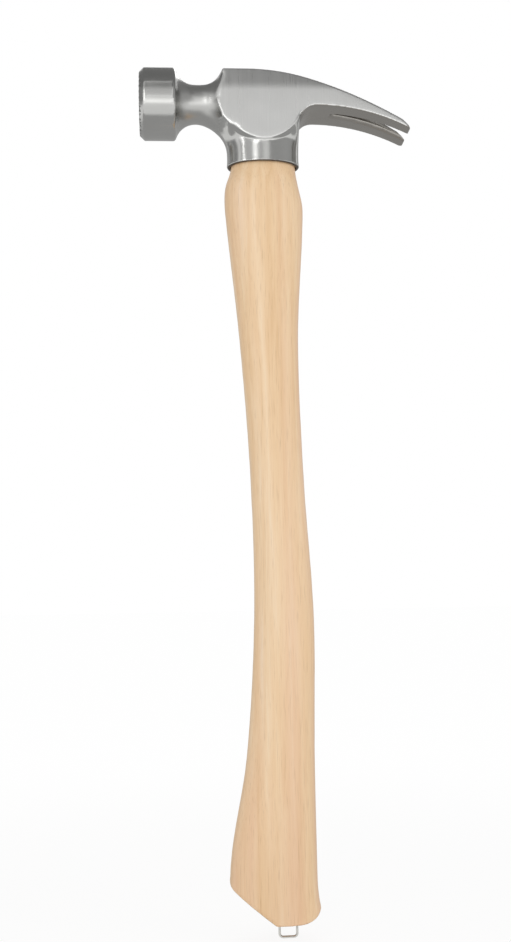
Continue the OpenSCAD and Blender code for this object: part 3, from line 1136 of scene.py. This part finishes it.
@dataclass(frozen=True)
class Card:
    """A grey card outside the picture that only the steel's reflections show.

    Attributes:
        name: the card's name.
        centre: its middle.
        facing: direction in which it faces.
        size: width and height.
        tone: its brightness in the reflections.
    """

    name: str
    centre: tuple[float, float, float]
    facing: tuple[float, float, float]
    size: tuple[float, float]
    tone: float

    def place(self) -> bpy.types.Object:
        """Set the card up.

        Returns:
            The card, seen only in reflections.
        """
        shape = bmesh.new()
        bmesh.ops.create_grid(shape, x_segments=1, y_segments=1, size=0.5)
        bmesh.ops.scale(shape, vec=(*self.size, 1), verts=shape.verts)
        card = new_object(self.name, shape)
        card.location = self.centre
        card.rotation_euler = Vector(self.facing).to_track_quat("Z", "Y").to_euler()
        material, tree, output = new_material(self.name)
        glow = add_node(tree, "Emission", {"Strength": self.tone})
        tree.links.new(glow.outputs[0], output.inputs["Surface"])
        card.data.materials.append(material)
        card.visible_camera = False
        card.visible_diffuse = False
        card.visible_shadow = False
        card.visible_transmission = False
        return card


# Two upright boxes draw the socket's bright streaks, and the low one the bright band on poll and neck
LAMPS = (
    Lamp("key_box", azimuth=-15, elevation=12, distance=1.5, size=(0.22, 0.8), radiance=2.8),
    Lamp("strip_box", azimuth=-42, elevation=12, distance=1.5, size=(0.07, 0.8), radiance=5.0),
    Lamp("low_front_box", azimuth=1, elevation=-7.5, distance=1.4, size=(2.0, 0.28), radiance=0.75),
    Lamp("right_fill", azimuth=55, elevation=25, distance=1.9, size=(0.9, 1.0), radiance=1.3),
    Lamp("back_box", azimuth=165, elevation=48, distance=1.3, size=(0.5, 0.6), radiance=2.0),
)
# Greys that the steel mirrors beside the boxes: darkest overhead and on the flag over the cheeks' tops
CARDS = (
    Card("overhead_card", centre=(0.07, 0.14, 0.8), facing=(0, 0, -1), size=(3.0, 1.52), tone=0.22),
    Card("cheek_flag", centre=(0.29, -0.82, 0.72), facing=(-0.2, 0.82, -0.71), size=(0.62, 0.4), tone=0.2),
    Card("front_card", centre=(-0.72, -1.6, 0.95), facing=(0.5, 1.0, -0.5), size=(2.0, 1.5), tone=0.6),
    Card("left_card", centre=(-1.45, 0.2, 0.79), facing=(1, 0, 0), size=(1.8, 1.62), tone=0.32),
    Card("right_card", centre=(1.455, -0.47, 0.79), facing=(-1, 0.5, 0), size=(3.65, 1.62), tone=0.42),
    Card("low_right_card", centre=(2.0, 0.8, -0.22), facing=(-1, -0.35, 0), size=(1.3, 0.44), tone=0.42),
    Card("back_card", centre=(0.07, 1.3, 0.28), facing=(0, -1, 0), size=(3.2, 1.44), tone=0.45),
    Card("floor_card", centre=(0.07, 0.49, -0.44), facing=(0, 0, 1), size=(2.6, 1.62), tone=0.45),
)


@dataclass
class Studio:
    """White floor and surroundings, soft boxes, grey cards and the camera at the photograph's place.

    To the camera the floor is nearly plain white, with a little of the paper's shade close to the hammer.

    Attributes:
        camera_at: the camera's place.
        camera_turn: its turns in degrees.
        focal: its focal length in millimetres.
        sensor: its sensor's width in millimetres.
        floor_size: length of the floor's sides.
        floor_colour: colour of the paper.
        floor_white: share of plain white at the hammer and far off.
        floor_fade: distances from the hammer between which that share grows.
        world_fill: strength of the even light from all sides.
        target: the point that the lamps face.
        lamps: the soft boxes.
        cards: the grey cards.
    """

    camera_at: Vector = field(default_factory=lambda: Vector((17.29, -636.61, -276.53)) * MM)
    camera_turn: tuple[float, float, float] = (96.253, 1.065, -3.817)
    focal: float = 45.2
    sensor: float = 36.0
    floor_size: float = 40.0
    floor_colour: str = "#F2F2F1"
    floor_white: tuple[float, float] = (0.9, 0.985)
    floor_fade: tuple[float, float] = (0.15, 0.7)
    world_fill: float = 0.68
    target: Vector = field(default_factory=lambda: Vector((70, 0, -120)) * MM)
    lamps: tuple[Lamp, ...] = LAMPS
    cards: tuple[Card, ...] = CARDS

    def seen_directly(self, tree: bpy.types.NodeTree) -> bpy.types.NodeSocket:
        """Tell rays that look at the surroundings from rays that light the object.

        Args:
            tree: node tree to add to.

        Returns:
            1 for camera, glossy and transmission rays, otherwise 0.
        """
        path = add_node(tree, "LightPath").outputs
        looks = path["Is Camera Ray"]
        for other in ("Is Glossy Ray", "Is Transmission Ray"):
            looks = add_node(tree, "Math", {0: looks, 1: path[other]}, operation="MAXIMUM").outputs[0]
        return looks

    def surroundings(self) -> None:
        """Make the world white to look at and a soft fill on the object."""
        world = bpy.data.worlds.new("white_studio")
        world.use_nodes = True
        tree = world.node_tree
        tree.nodes.clear()
        fill = add_node(tree, "Background", {"Color": (1, 1, 1, 1), "Strength": self.world_fill})
        white = add_node(tree, "Background", {"Color": (1, 1, 1, 1), "Strength": 1.0})
        seen = self.seen_directly(tree)
        both = add_node(tree, "MixShader", {0: seen, 1: fill.outputs[0], 2: white.outputs[0]})
        add_node(tree, "OutputWorld", {"Surface": both.outputs[0]})
        bpy.context.scene.world = world

    def floor(self, height: float) -> bpy.types.Object:
        """Lay the floor under the hammer.

        Args:
            height: the hammer's lowest point.

        Returns:
            The floor.
        """
        shape = bmesh.new()
        bmesh.ops.create_grid(shape, x_segments=1, y_segments=1, size=self.floor_size / 2)
        bmesh.ops.translate(shape, vec=(0, 0, height), verts=shape.verts)
        floor = new_object("studio_floor", shape)
        material, tree, output = new_material("matt_white_paper")
        paper = add_node(tree, "BsdfDiffuse", {"Color": to_linear(self.floor_colour)})
        white = add_node(tree, "Emission", {"Strength": 1.0})
        place = add_node(tree, "TexCoord").outputs["Object"]
        foot = (self.target.x, 0, height)
        away = add_node(tree, "VectorMath", {0: place, 1: foot}, operation="DISTANCE")
        near, far = self.floor_fade
        low, high = self.floor_white
        fade = add_node(
            tree,
            "MapRange",
            {0: away.outputs["Value"], 1: near, 2: far, 3: low, 4: high},
            interpolation_type="SMOOTHSTEP",
        )
        seen = self.seen_directly(tree)
        share = add_node(tree, "Math", {0: seen, 1: fade.outputs[0]}, operation="MULTIPLY")
        both = add_node(tree, "MixShader", {0: share.outputs[0], 1: paper.outputs[0], 2: white.outputs[0]})
        tree.links.new(both.outputs[0], output.inputs["Surface"])
        floor.data.materials.append(material)
        return floor

    def camera(self) -> bpy.types.Object:
        """Put the camera where the photograph was taken from.

        Returns:
            The camera.
        """
        data = bpy.data.cameras.new("photo_camera")
        data.lens = self.focal
        data.sensor_width = self.sensor
        camera = bpy.data.objects.new("photo_camera", data)
        camera.location = self.camera_at
        camera.rotation_euler = Euler([math.radians(a) for a in self.camera_turn])
        bpy.context.scene.collection.objects.link(camera)
        bpy.context.scene.camera = camera
        return camera

    def build(self) -> None:
        """Set up everything round the hammer."""
        self.surroundings()
        self.floor(CAD_BOX[0].z)
        self.camera()
        for lamp in self.lamps:
            lamp.place(self.target)
        for card in self.cards:
            card.place()
        bpy.context.scene.view_settings.view_transform = "Standard"


def main() -> None:
    """Build and dress the hammer, then its studio."""
    logging.basicConfig(level=logging.INFO, format="%(name)s %(message)s")
    for assembly in (HammerHead(), Handle(), EyeWedges(), HangStaple()):
        assembly.dress(assembly.build())
    Studio().build()


if __name__ == "__main__":
    main()
